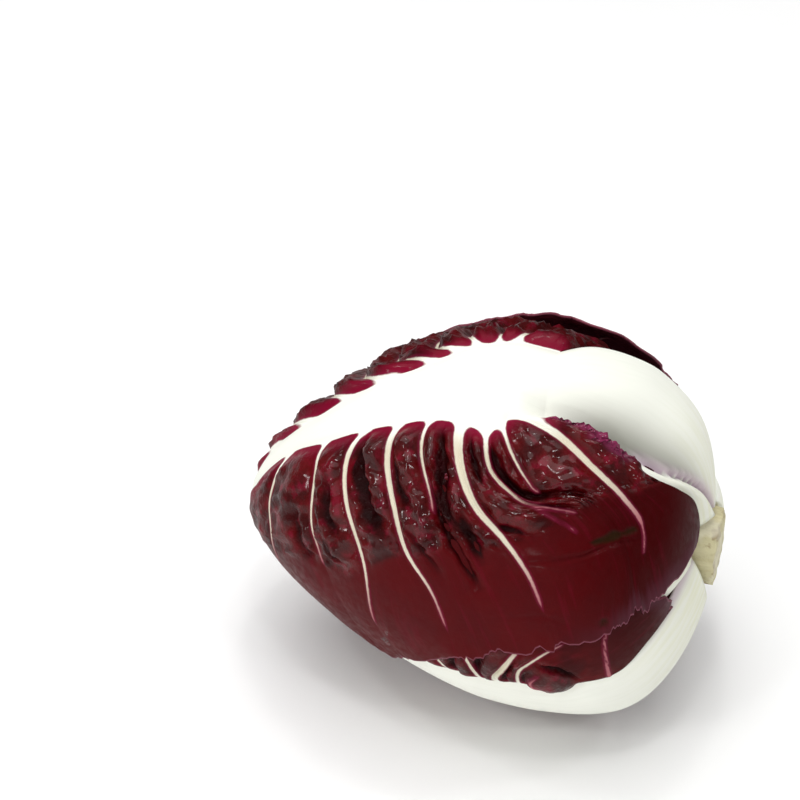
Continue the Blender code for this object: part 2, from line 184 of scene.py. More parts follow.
rule = dict(
    veins=(0.0, 0.134, 0.20, 0.268, 0.36, 0.455, 0.5625, 0.66, 0.768, 0.87, 1.0),
    lengths=(0.0, 0.72, 0.45, 0.86, 0.45, 0.86, 0.86, 0.45, 0.58, 0.58, 0.0),
    headingAt=(0.0, 0.134, 0.20, 0.268, 0.455, 0.5625, 0.66, 0.768, 1.0),
    headings=(176.0, 158.0, 118.0, 102.0, 92.0, 88.0, 80.0, 60.0, 10.0),
    widthAt=(-71.0, -60.0, -45.0, -30.0, -12.0, 10.0, 30.0, 55.0, 80.0, 108.0),
    halfWidths=(11.0, 13.0, 16.0, 17.0, 15.0, 15.5, 13.5, 8.5, 5.0, 1.2),
    ribStop=4.0, tipBearing=1.3, lobeBearing=176.0, rowSpread=0.77,
    bowStart=-10.0, bowLength=130.0, leanLength=71.0, stretchFrom=-50.0, mostAway=85.0,
)


def ribEnd(leaf):
    return leaf["reach"][0] - rule["ribStop"]


def rowsOf(leaf):
    return leaf.get("rows", rule["veins"])


def rowPlace(leaf, row):
    notch = head["notch"]
    foot = head["stemPole"] + leaf["start"]
    return np.where(row < 0.0, notch + (notch - foot) * row, notch + (ribEnd(leaf) - notch) * row)


def ribPoint(leaf, row, share):
    along = rowPlace(leaf, row)
    bowed = -leaf["bow"] * np.sin(np.pi * (along - rule["bowStart"]) / rule["bowLength"])
    centre = bowed + leaf["lean"] * np.sin(np.pi * np.clip(-along / rule["leanLength"], 0.0, 1.0))
    place = np.where(along > 0.0, along * rule["widthAt"][-1] / ribEnd(leaf), along)
    half = leaf["width"] * np.interp(place, rule["widthAt"], rule["halfWidths"])
    if "farWidths" in leaf:
        far = np.interp(along, *leaf["farWidths"])
        half = np.where(share > 0.0, far, half)
    across = centre + half * share
    poleDistance = along - head["stemPole"]
    angle = across / poleDistance
    away = np.radians(np.clip(np.abs(along), 1.0, rule["mostAway"]))
    closing = 1.0 - smoothStep(rule["stretchFrom"], head["notch"], along)
    x = mixed(along, head["stemPole"] + poleDistance * np.cos(angle), closing)
    y = mixed(across, poleDistance * np.sin(angle), closing) * mixed(1.0, away / np.sin(away), closing)
    return np.stack([x, y], axis=-1)


def marginPoint(leaf, row, side):
    tip, wide, lobe = leaf["reach"]
    bearing = mixed(rule["lobeBearing"], rule["tipBearing"], row ** rule["rowSpread"])
    before = wide + (tip - wide) * (1.0 - np.clip(bearing / 90.0, 0.0, 1.0) ** 3)
    behind = lobe + (wide - lobe) * (1.0 - np.clip(bearing / 90.0 - 1.0, 0.0, 1.0)) ** 1.6
    reach = np.where(bearing < 90.0, before, behind)
    if "nearReach" in leaf and side < 0.0:
        reach = np.interp(bearing, *leaf["nearReach"])
    angle = np.radians(bearing)
    return np.stack([reach * np.cos(angle), side * reach * np.sin(angle)], axis=-1)


def ruledCurves(leaf, side, count):
    # the leaf's rows at its veins, on one side, from the rib's edge to the margin
    curves = []
    for number, row in enumerate(rowsOf(leaf)):
        row = np.array(row)
        root, margin = ribPoint(leaf, row, np.array(side)), marginPoint(leaf, row, side)
        if side > 0.0 and number in leaf["drawn"]:
            curves.append(smoothLine([tuple(root)] + list(leaf["drawn"][number]), count))
            continue
        heading = math.radians(np.interp(row, rule["headingAt"], rule["headings"]))
        half = 0.5 * np.linalg.norm(margin - root)
        turning = root + half * np.array([math.cos(heading), side * math.sin(heading)])
        out = np.linspace(0.0, 1.0, count)[:, None]
        curves.append((1.0 - out) ** 2 * root + 2.0 * out * (1.0 - out) * turning + out ** 2 * margin)
    return np.array(curves)


# the leaves

leafShape = dict(
    bow=0.0, lean=0.0, width=1.0, crown=2.2, heel=0.0, drawn={}, threads=(), folds=(), detailSide=-1.0,
    petioleHollow=False,
    steps=10, nearSteps=40, ribSteps=24, farSteps=40, petioleSteps=30,
    nearPillow=1.0, farPillow=1.0, farDrop=0.0, farShade=0.0, pucker=0.6, fadeShift=0.0,
)

topLeaf = dict(
    leafShape, name="topLeaf", nodes=("leaf_top_blade", "leaf_top_rib"), turn=82.0, layer=0.0,
    # rows of the near side: the lobe's free edge, then each vein, then the tip
    near=(
        ((-6, -12.5), (-14, -11.5), (-22, -11.5), (-31, -13), (-38, -14.5), (-48, -12.5), (-58, -10),
         (-64.5, -13), (-66.8, -20)),
        ((3, -14), (-10, -17), (-22, -22), (-32, -25), (-39, -28), (-43, -34), (-55.5, -44.5)),
        ((6, -18), (1, -26), (-5, -32), (-10, -34), (-22, -30), (-36, -35), (-49, -50)),
        ((10, -21), (6, -32), (-2, -37), (-8, -38), (-20, -35), (-34, -42), (-45, -58)),
        ((18, -19), (15, -32), (8, -43), (-3, -50), (-13, -57), (-21, -65), (-30, -73)),
        ((28, -18), (28, -29), (23, -42), (20, -49), (8, -66), (-8, -87)),
        ((38, -18), (38.5, -31), (35, -45), (30, -59), (20, -71), (14, -82), (8, -94)),
        ((49, -17), (53, -28), (52.5, -41), (48, -61), (52, -83), (49, -103)),
        ((62, -15), (64, -27), (67, -40), (67, -49), (68, -68), (70, -94)),
        ((74, -10), (81, -20), (85, -28), (93, -36), (99, -54)),
        ((90, -6), (98, -12), (108, -26)),
        ((109, -1.5), (111, -2), (113, -2)),
    ),
    far=(
        ((-4, 16), (-14, 29), (-27, 38), (-40, 46), (-50, 50)),
        ((9, 15), (4, 27), (-8, 40), (-26, 46), (-48, 45)),
        ((14, 13.5), (14, 28), (5, 43), (-15, 54), (-38, 58)),
        ((20, 12), (25, 21), (24, 36), (12, 52), (-22, 72)),
        ((24, 10), (32, 12), (38, 26), (32, 48), (-5, 82)),
        ((31, 5), (38, 7.5), (48, 13), (50, 32), (40, 58), (16, 87)),
        ((43, 1), (50, 3), (59, 14), (62, 36), (55, 60), (38, 84)),
        ((57, -1), (64, 5), (71, 18), (74, 38), (60, 76)),
        ((68, -2.5), (76, 4), (84, 16), (88, 34), (80, 62)),
        ((80, 0), (87, 6), (94, 16), (98, 28), (95, 43)),
        ((93, 2), (99, 7), (104, 13), (106, 20)),
        ((109, 0.6), (111, 1), (113, 1)),
    ),
    petioleNear=((-6, -12.5), (-14, -14.5), (-24, -17), (-36, -19), (-48, -17.5), (-62, -13), (-74, -10)),
    petioleFar=((-4, 16), (-14, 28), (-27, 36), (-40, 42), (-55, 36), (-66, 22), (-74, 10)),
    # half width of each vein at the rib and at its end in mm, and how far it runs
    nearVeins=((0, 0, 0), (1.35, 0.6, 0.675), (0.6, 0.2, 0.33), (0.75, 0.25, 0.41), (1.55, 0.32, 0.83),
               (0.6, 0.25, 0.38), (1.2, 0.27, 0.86), (1.05, 0.27, 0.77), (0.75, 0.3, 0.5),
               (0.75, 0.35, 0.62), (0.5, 0.2, 0.5), (0, 0, 0)),
    farVeins=((0, 0, 0), (0.8, 0.3, 0.5), (0.5, 0.2, 0.3), (0.8, 0.3, 0.6), (0.8, 0.4, 0.5),
              (0.8, 0.3, 0.6), (0.8, 0.4, 0.6), (0.7, 0.3, 0.6), (0.6, 0.3, 0.5), (0.5, 0.2, 0.5),
              (0.4, 0.2, 0.5), (0, 0, 0)),
    # thin pinkish side veins of the near side, and deep folds: plane points, half width, depth, in mm
    threads=((((-39.5, -28.4), (-41.7, -31.4), (-43.3, -35.3)), 0.3),
             (((-8, -38), (-13, -37), (-21, -35)), 0.3),
             (((-8, -38), (-11, -38.7), (-17.3, -39.3), (-23.4, -39.9)), 0.25)),
    folds=((((48, -22), (48, -30), (46.5, -38), (44, -45), (39, -51)), 2.3, 4.0),
           (((36, -28), (35, -34), (33, -40), (29, -45)), 1.5, 2.4),
           (((23, -22), (21.5, -29), (20, -37), (18, -44), (13, -50)), 1.6, 3.4),
           (((24, -38), (20, -46), (15, -53), (9, -60), (2, -66)), 1.3, 3.0),
           (((14, -23), (11.5, -30), (7, -37)), 1.1, 2.2),
           (((8, -25), (4, -31), (-1, -35), (-7, -36), (-14, -33)), 1.3, 3.6),
           (((6, -42), (1, -47), (-4, -46.5), (-11, -46)), 1.0, 2.4),
           (((12, -46), (8, -52), (3, -58)), 1.5, 3.0),
           (((58, -30), (59, -40), (56, -49)), 1.6, 2.3),
           (((62, -45), (60, -52), (56, -58)), 1.2, 1.6),
           (((71, -32), (73, -42), (71, -50)), 1.5, 1.8),
           (((31, -50), (24, -58), (16, -66)), 1.0, 1.5),
           (((-11, -53), (-18, -50), (-26, -45), (-34, -37), (-41, -32)), 0.45, 0.8),
           (((-4, -74), (-12, -71), (-22, -66), (-34, -64)), 0.6, 0.3)),
    scar=((-28, -40), (-32, -36.5), (-38, -30.5)), spot=(-40, -58),
    steps=18, nearSteps=104, ribSteps=40, farSteps=58, petioleSteps=60,
    nearPillow=2.1, farPillow=3.0, farDrop=3.6, farShade=0.9, pucker=1.5, crown=2.2, petioleHollow=True,
)

lowLeaf = dict(
    leafShape, name="lowLeaf", nodes=("leaf_low_blade", "leaf_low_rib"), turn=-40.0,
    layer=-1.8 * mm, reach=(86.0, 88.0, 56.0), start=15.0, bow=2.0, crown=2.9, heel=2.6,
    farWidths=((-71, -60, -47, -27, -19, -6, 11, 30, 55, 82),
               (12, 17, 20, 20.5, 16, 16.5, 13.5, 10, 7, 1.5)),
    detailSide=1.0, fadeShift=0.20,
    rows=(0.0, 0.045, 0.10, 0.155, 0.25, 0.36, 0.4625, 0.5625, 0.66, 0.768, 0.87, 1.0),
    # the far side's rows beside the stem, after their roots: what the photo's lower edge shows
    drawn={0: ((-17, 15.5), (-22, 16), (-26, 19.5), (-37, 19.5), (-47, 23), (-56, 23), (-60, 22)),
           1: ((-7.5, 24), (-10, 29), (-22, 38), (-38, 42), (-52, 40)),
           2: ((-0.5, 21), (-2, 25), (-9, 36), (-20, 52), (-34, 62)),
           3: ((7, 24), (9, 33), (6, 48), (-4, 72)),
           4: ((17, 18), (20, 28), (20, 50), (14, 80)),
           5: ((25, 14), (31, 23), (36, 44), (34, 82))},
    lengths=(0.0, 0.5, 0.62, 0.55, 0.5, 0.6, 0.5, 0.6, 0.6, 0.5, 0.5, 0.0),
    farVeins=((0, 0, 0), (0.6, 0.3, 0.5), (1.1, 0.5, 0.45), (0.8, 0.35, 0.4), (0.6, 0.3, 0.5),
              (0.7, 0.3, 0.6), (0.5, 0.3, 0.4), (0.9, 0.3, 0.6), (0.7, 0.3, 0.6), (0.6, 0.3, 0.5),
              (0.5, 0.2, 0.5), (0, 0, 0)),
    threads=((((-13, 17), (-11, 22.5), (-14, 27)), 0.5),
             (((-34, 20), (-34, 26), (-35, 37), (-39, 41)), 0.6)),
    folds=((((-14, 30), (-20, 27), (-25, 22)), 0.9, 2.6), (((-5, 19), (-3.5, 23), (-7, 31)), 0.8, 2.2),
           (((-10.5, 18), (-9, 22), (-11.5, 27)), 0.7, 1.8), (((3, 18), (5, 24), (2, 32)), 1.1, 2.4),
           (((11, 15), (13, 21), (12, 28)), 1.3, 2.4), (((20, 13), (24, 19), (26, 26)), 1.1, 1.8)),
    steps=18, nearSteps=46, ribSteps=44, farSteps=66, petioleSteps=50, farPillow=1.7,
)
backLeaf = dict(
    leafShape, name="backLeaf", nodes=("leaf_back_blade", "leaf_back_rib"), turn=205.0,
    layer=1.8 * mm, reach=(84.0, 86.0, 54.0), start=14.6, bow=-2.0,
    nearReach=((0, 30, 60, 84, 93, 98, 108, 113, 125, 150, 180),
               (82, 74, 68, 68, 72, 80, 81, 76, 62, 48, 44)),
    steps=16, nearSteps=84, ribSteps=40, farSteps=70, petioleSteps=50,
    nearPillow=1.3, farPillow=1.3,
)
innerLeaf = dict(leafShape, reach=(86.0, 75.0, 55.0), width=0.75, crown=1.1,
                 steps=6, nearSteps=24, ribSteps=16, farSteps=24, petioleSteps=24, pucker=0.3)
innerLeaves = [
    dict(innerLeaf, name="innerFrontLeaf", nodes=("leaf_inner_front_blade", "leaf_inner_front_rib"),
         turn=22.0, layer=-5.6 * mm, start=17.2, heel=3.2, lean=-3.0),
    dict(innerLeaf, name="innerRearLeaf", nodes=("leaf_inner_rear_blade", "leaf_inner_rear_rib"),
         turn=145.0, layer=-7.5 * mm, start=17.9),
    dict(innerLeaf, name="innerUnderLeaf", nodes=("leaf_inner_under_blade", "leaf_inner_under_rib"),
         turn=265.0, layer=-9.4 * mm, start=18.6),
]


# relief, in mm over the leaf's layer

relief = dict(
    # the blade beside the rib, and its level further out
    ribEdge=-0.3, bladeLevel=0.5, bladeOver=(0.0, 5.0), meeting=3.5, clearOver=(0.0, 2.2),
    bladeThick=0.75, ribThick=2.6, petioleThick=(0.9, 1.6),
    # pillows between the veins: shares of the way out where they rise and fade, and what is left
    pillowRise=(0.0, 0.10), pillowFade=(0.38, 0.60), pillowLeft=0.12, pillowSquare=2.6,
    tipRows=(7.6, 9.0), tipCalm=0.6, dropOver=(2.0, 16.0), tipFlat=(78.0, 104.0), tipLevel=-0.5,
    # puckers: number in a row, length in mm and share of the height, for each of three sizes
    puckerRise=(0.02, 0.10), puckerFade=(0.42, 0.56), fadeWander=0.06,
    coarse=(2.7, 8.0, 1.0), creased=(4.6, 5.2, 0.65), fine=(9.5, 2.3, 0.45), creaseDepth=2.4,
    crinkle=1.3, crinkleAt=0.50, crinkleWidth=0.03, crinkleGloss=0.9,
    swell=0.4, swellSize=18.0 * mm, swellOver=(2.0, 9.0),
    # raised veins, folds with their painted shadow, and the scar
    veinReach=1.3, veinEndOver=(0.94, 1.15), veinClose=3.0,
    veinRidge=0.35, ridgeOver=(-0.5, 0.55), ridgeFrom=(0.0, 3.0), foldClear=(0.0, 0.9), foldTone=2.2,
    wanderSize=3.0 * mm, farShadeOver=(1.0, 5.0), scarDepth=0.5, scarOver=(0.4, 1.5), spotTone=0.8,
    # the margin is ragged, scalloped, a little lifted and waved, with a grey bloom that is partly painted
    # sheen
    marginRag=2.0, scallop=1.9, ragOver=(0.8, 1.0), ragTip=(2.2, 1.0),
    liftOver=(0.0, 7.0), liftFrom=(1.0, 6.0), lift=0.35, wave=1.1,
    bloomOver=(1.0, 7.5), bloomRows=(2.2, 4.2),
    # the free lobe's frilled edge
    frillRows=(0.28, 0.62), frillWander=0.2, frillStart=(0.03, 0.08), frillEnd=(0.31, 0.41),
    frillPush=2.2, frillHeight=1.8,
    # the rib: its crown, its heel at the stem, and the top leaf's hollow with its painted shade
    slenderOver=(-20.0, 100.0), slenderLoss=0.85, heelOver=(12.0, 45.0), crownPower=0.9,
    hollow=((-1.0, -3.2), (-0.85, -4.0), (-0.68, -3.2), (-0.42, -0.7), (-0.15, 1.2), (0.15, 1.9),
            (0.6, 1.4), (1.0, -0.8)),
    hollowOver=(-0.22, 0.9), hollowShade=(-0.66, 0.36), shadeOver=(2.0, 26.0), shadeSide=(0.3, 2.5),
    sag=0.6, sagOver=(-0.6, 0.0), lilacSide=(0.86, 1.0), lilacOver=(44.0, 56.0), streakHeight=0.05,
    # the loose seam between the free lobe and the rib
    seam=((-30, -12), (-35, -10.5), (-40, -9.5), (-46, -8), (-54, -4.5), (-62, -1.5), (-72, 0)),
    seamOver=(29.0, 34.0), seamDepth=2.2, seamWidth=0.7, lip=1.8, lipOver=(0.2, 2.5), lilacWidth=2.2,
    seamShade=0.55,
)


def eased(name, value):
    # how far the value is through one of the relief's spans
    return smoothStep(*relief[name], value)


def distanceTo(line, points):
    # distance in mm from each point to a line of points, and how far along the line it is nearest
    best = np.full(points.shape[:-1], 1e9)
    place = np.zeros(points.shape[:-1])
    steps = len(line) - 1
    for i in range(steps):
        start, run = line[i], line[i + 1] - line[i]
        share = np.clip(((points - start) @ run) / max(run @ run, 1e-12), 0.0, 1.0)
        away = np.linalg.norm(points - start - share[..., None] * run, axis=-1) / mm
        closer = away < best
        best = np.where(closer, away, best)
        place = np.where(closer, (i + share) / steps, place)
    return best, place


def whiteLines(leaf, side, curves, veins):
    # each vein as points on the form, half widths in mm at both ends, length, and its place among the rows
    lines = [(onForm(leaf, curves[number])[::2], start, end, length, number)
             for number, (start, end, length) in enumerate(veins) if length > 0]
    if side == leaf["detailSide"]:
        lines += [(onForm(leaf, smoothLine(line, 16)), width, 0.6 * width, 1.0, None)
                  for line, width in leaf["threads"]]
    return lines


def veinDistance(lines, phase, points):
    # signed distance in mm to the nearest vein's white band, and how far out along the vein
    band = np.full(points.shape[:-1], 99.0)
    fade = np.zeros(points.shape[:-1])
    for line, startWidth, endWidth, length, number in lines:
        rows = np.arange(len(phase))
        if number is not None:
            rows = np.where(np.abs(phase - number) < relief["veinReach"])[0]
        away, place = distanceTo(line, points[rows])
        share = place / length
        half = mixed(startWidth, endWidth, np.clip(share, 0.0, 1.0) ** 0.8)
        half = half - relief["veinClose"] * eased("veinEndOver", share)
        signed = away - half
        closer = signed < band[rows]
        fade[rows] = np.where(closer, share if number is not None else 1.0, fade[rows])
        band[rows] = np.minimum(signed, band[rows])
    return band, fade


def foldDepth(leaf, points, wander):
    # depth in mm of the folds drawn on a leaf
    depth = np.zeros(points.shape[:-1])
    for line, width, deep in leaf["folds"]:
        away, place = distanceTo(onForm(leaf, smoothLine(line, 24)), points)
        taper = np.sin(np.pi * np.clip(place, 0.03, 0.97)) ** 0.5
        depth = np.maximum(depth, deep * taper * np.exp(-(away * (1.0 + 0.5 * wander) / width) ** 2))
    return depth


def scarMask(leaf, points, wander):
    away, place = distanceTo(onForm(leaf, smoothLine(leaf["scar"], 16)), points)
    tear = 1.0 - eased("scarOver", away + 0.9 * wander + 0.5 * np.abs(2.0 * place - 1.0))
    spot = np.linalg.norm(points - onForm(leaf, np.array(leaf["spot"], float)), axis=-1) / mm
    return np.maximum(tear, relief["spotTone"] * (1.0 - eased("scarOver", spot + 0.8 * wander)))


def raggedMargin(plane, out, phase, side, curveCount):
    between = np.sin(np.pi * phase) ** 2
    last = plane[:, -1] - plane[:, -3]
    last = last / np.maximum(np.linalg.norm(last, axis=-1, keepdims=True), 1e-6)
    ragged = noiseAt(3.0, phase * 5.0, 0.0, side)
    ragged = ragged + 0.8 * noiseAt(4.0, phase * 14.0, 0.0, side)
    beforeTip, atTip = relief["ragTip"]
    tipRow = 1.0 - smoothStep(curveCount - beforeTip, curveCount - atTip, phase)
    push = (relief["scallop"] * (between - 0.5) + relief["marginRag"] * ragged) * tipRow
    return plane + (eased("ragOver", out) * push[:, None])[..., None] * last[:, None, :]


def frillShare(rows, out):
    # the lobe's free edge is frilled where it lies over the rib
    wander = relief["frillWander"] * noiseAt(15.0, out * 22.0, rows * 3.0)
    frill = 1.0 - eased("frillRows", rows + wander)
    return frill * eased("frillStart", out) * (1.0 - eased("frillEnd", out))


def puckered(rows, run, side, size, seed):
    perRow, length = relief[size][:2]
    return noiseAt(seed, rows * perRow, run / length, side)


def noiseOver(points, size, seed):
    return noiseAt(seed, *np.moveaxis(points / size, -1, 0))


def pillowHeight(leaf, side, pillow, rows, out, fromRib):
    # the blade's level, domed between the veins and lower on the far side
    domed = 1.0 - np.abs(2.0 * (rows - np.floor(rows)) - 1.0) ** relief["pillowSquare"]
    grow = eased("pillowRise", out)
    fading = 1.0 - (1.0 - relief["pillowLeft"]) * eased("pillowFade", out + leaf["fadeShift"])
    nearTip = 1.0 - relief["tipCalm"] * eased("tipRows", rows)
    rise = relief["bladeLevel"] - relief["ribEdge"]
    height = relief["ribEdge"] + rise * eased("bladeOver", fromRib)
    height = height + pillow * domed * grow * fading * nearTip
    if side > 0.0:
        height = height - leaf["farDrop"] * eased("dropOver", fromRib)
    return height


def puckerHeight(leaf, side, rows, run, out, clear):
    # puckers run along the veins, and end in a line of small crinkles
    ending = out + leaf["fadeShift"] + relief["fadeWander"] * noiseAt(8.0, rows * 1.3)
    puckering = eased("puckerRise", out) * clear
    puckering = puckering * (1.0 - eased("puckerFade", ending))
    coarse = puckered(rows, run, side, "coarse", 1.0)
    creased = 1.0 - relief["creaseDepth"] * np.abs(puckered(rows, run, side, "creased", 2.0))
    fine = puckered(rows, run, side, "fine", 5.0)
    shaped = relief["coarse"][2] * coarse + relief["creased"][2] * creased + relief["fine"][2] * fine
    crinkled = hump(ending, relief["crinkleAt"], relief["crinkleWidth"]) * clear
    height = leaf["pucker"] * puckering * shaped
    height = height + relief["crinkle"] * crinkled * fine * leaf["pucker"]
    return height, np.maximum(puckering, relief["crinkleGloss"] * crinkled)


def bladeSide(leaf, side, curves, veins, phase, steps, pillow):
    # one side of the blade: its plane points, relief and finish values, row by row
    plane = betweenCurves(curves, phase)
    out = np.broadcast_to(np.linspace(0.0, 1.0, steps + 1), plane.shape[:-1])
    rows = np.broadcast_to(phase[:, None], out.shape)
    none = np.zeros(out.shape)
    plane = raggedMargin(plane, out, phase, side, len(curves))
    frill = none
    if leaf["petioleHollow"] and side < 0.0:
        frill = frillShare(rows, out)
        ruffle = noiseAt(16.0, out * 42.0) + 0.6 * noiseAt(17.0, out * 95.0)
        plane[..., 1] += frill * relief["frillPush"] * ruffle
    points = onForm(leaf, plane)
    step = np.linalg.norm(np.diff(points, axis=1), axis=-1) / mm
    run = np.concatenate([np.zeros((len(phase), 1)), np.cumsum(step, axis=1)], axis=1)
    toEdge = run[:, -1:] - run
    band, fade = veinDistance(whiteLines(leaf, side, curves, veins), phase, points)
    ribLine = onForm(leaf, betweenCurves(curves[:, :1], np.linspace(0.0, len(curves) - 1.0, 90))[:, 0])
    fromRib = distanceTo(ribLine, points)[0]
    fromWhite = np.minimum(band, fromRib)

    height = pillowHeight(leaf, side, pillow, rows, out, fromRib)
    puckers, gloss = puckerHeight(leaf, side, rows, run, out, eased("clearOver", fromWhite))
    height = height + puckers
    swell = noiseOver(points, relief["swellSize"], 6.0) * eased("swellOver", fromRib)
    height = height + relief["swell"] * swell
    # painted shadow: the folds' depth, and the far side's farShade, become the fold mark that darkens the
    # blade towards near black
    fold, scar = none, none
    if side > 0.0:
        fold = leaf["farShade"] * eased("farShadeOver", fromRib)
    if side == leaf["detailSide"]:
        wander = noiseOver(points, relief["wanderSize"], 12.0)
        fold = foldDepth(leaf, points, wander) * eased("foldClear", fromWhite)
        if "scar" in leaf:
            scar = scarMask(leaf, points, wander)
    height = height - fold - relief["scarDepth"] * scar
    ridge = 1.0 - eased("ridgeOver", band)
    height = height + relief["veinRidge"] * ridge * eased("ridgeFrom", fromRib)

    # the margin stands off a little and waves
    wave = noiseAt(7.0, rows * 2.3, 0.0, side)
    lifted = (1.0 - eased("liftOver", toEdge)) * eased("liftFrom", fromRib)
    height = height + lifted * (relief["lift"] + relief["wave"] * wave)
    height = height + frill * relief["frillHeight"] * noiseAt(9.0, out * 60.0, rows * 9.0)
    height = mixed(height, relief["tipLevel"], eased("tipFlat", plane[..., 0]))
    # grey bloom on the lobe's margin: partly the leaf's real bloom, partly painted sheen
    bloomAndSheen = (1.0 - eased("bloomOver", toEdge)) * (1.0 - eased("bloomRows", rows))
    finish = dict(white=softLeast(band, fromRib, relief["meeting"]), rib=fromRib, edge=toEdge, fade=fade,
                  across=rows * 10.0, along=run, blush=frill, fold=fold / relief["foldTone"],
                  pucker=gloss, bloomAndSheen=bloomAndSheen, scar=scar)
    return plane, height, finish


def polar(points):
    offset = points - np.array([head["stemPole"], 0.0])
    return np.hypot(offset[..., 0], offset[..., 1]), np.arctan2(offset[..., 1], offset[..., 0])


def ribPlane(leaf, phase, nearRoots, farRoots, shares):
    # the rib's points: between its two edges, on arcs round the stem
    if "near" not in leaf:
        places = np.arange(len(rowsOf(leaf)))
        row = np.where(phase < 0.0, phase, np.interp(phase, places, rowsOf(leaf)))
        return ribPoint(leaf, row[:, None], shares[None, :])
    petiole = phase < 0.0
    place = np.linspace(0.0, 1.0, 200)
    edges = []
    for name, roots in (("petioleNear", nearRoots), ("petioleFar", farRoots)):
        line = smoothLine(leaf[name], 200)
        below = np.stack([np.interp(-phase, place, line[:, i]) for i in (0, 1)], axis=-1)
        above = betweenCurves(roots, np.maximum(phase, 0.0))
        edges.append(np.where(petiole[:, None], below, above))
    nearFar, nearAngle = polar(edges[0])
    farFar, farAngle = polar(edges[1])
    part = (shares[None, :] + 1.0) / 2.0
    reach = mixed(nearFar[:, None], farFar[:, None], part)
    angle = mixed(nearAngle[:, None], farAngle[:, None], part)
    return np.stack([head["stemPole"] + reach * np.cos(angle), reach * np.sin(angle)], axis=-1)


def hollowedRib(height, share, rows, plane):
    # the top leaf's rib: hollow beside the free lobe, with a loose seam where the lobe joins it; painted
    # shade in the hollow and a painted shadow line along the seam
    profile = smoothLine(relief["hollow"], 80)
    hollowed = np.interp(share, profile[:, 0], profile[:, 1])
    height = mixed(hollowed, height, eased("hollowOver", rows))
    seam = smoothLine(relief["seam"], 60)
    across = plane[..., 1] - np.interp(-plane[..., 0], -seam[:, 0], seam[:, 1])
    inSeam = eased("seamOver", -plane[..., 0])
    height = height - relief["seamDepth"] * hump(across, 0.0, relief["seamWidth"]) * inSeam
    height = height + relief["lip"] * eased("lipOver", -across) * inSeam
    blush = inSeam * np.where(across > -0.4, hump(across, 0.0, relief["lilacWidth"]), 0.0)
    # painted shade: the hollow's valley and a dark line along the seam, carried by the fold mark
    middle, width = relief["hollowShade"]
    valley = hump(share, middle, width) * eased("shadeOver", -plane[..., 0])
    shade = 0.9 * inSeam * hump(across, 0.0, relief["seamShade"])
    return height, blush, np.maximum(shade, valley * eased("shadeSide", across))


def ribRelief(leaf, phase, plane, shares):
    share = np.broadcast_to(shares, plane.shape[:-1])
    rows = np.broadcast_to(phase[:, None], share.shape)
    none = np.zeros(share.shape)
    slender = 1.0 - relief["slenderLoss"] * eased("slenderOver", plane[..., 0])
    crown = leaf["crown"] * slender + leaf["heel"] * eased("heelOver", -plane[..., 0])
    rounded = np.clip(1.0 - share ** 2, 0.0, 1.0)
    height = relief["ribEdge"] + crown * rounded ** relief["crownPower"]
    if leaf["petioleHollow"]:
        height, blush, shade = hollowedRib(height, share, rows, plane)
    else:
        shade = none
        height = height - (1.0 - eased("sagOver", rows)) * relief["sag"] * share ** 4
        blush = 0.8 * eased("lilacSide", share) * eased("lilacOver", -plane[..., 0])
    streak = noiseAt(11.0, share * 6.0, plane[..., 0] / 40.0)
    height = height + relief["streakHeight"] * streak * (1.0 - share ** 2)
    height = mixed(height, relief["tipLevel"] + 0.4 * (1.0 - share ** 2), eased("tipFlat", plane[..., 0]))
    half = 0.5 * np.linalg.norm(plane[:, -1] - plane[:, 0], axis=-1)[:, None]
    inward = -(1.0 - np.abs(share)) * half
    # the rib's fold mark holds the painted shade of its hollow and seam
    finish = dict(white=inward - 0.6, rib=inward, edge=none + 30.0, fade=none, across=share * 15.0,
                  along=plane[..., 0], blush=blush, fold=shade, pucker=none, bloomAndSheen=none, scar=none)
    return height, finish


def leafRows(leaf, curveCount):
    # phases of the rows, closer together beside the veins
    part = np.linspace(0.0, 1.0, leaf["steps"] + 1)[:-1]
    spaced = part - 0.6 * np.sin(2.0 * np.pi * part) / (2.0 * np.pi)
    blade = (np.arange(curveCount - 1)[:, None] + spaced[None, :]).ravel()
    petiole = np.linspace(-1.0, 0.0, leaf["petioleSteps"] + 1)[:-1]
    return petiole, np.append(blade, curveCount - 1.0)


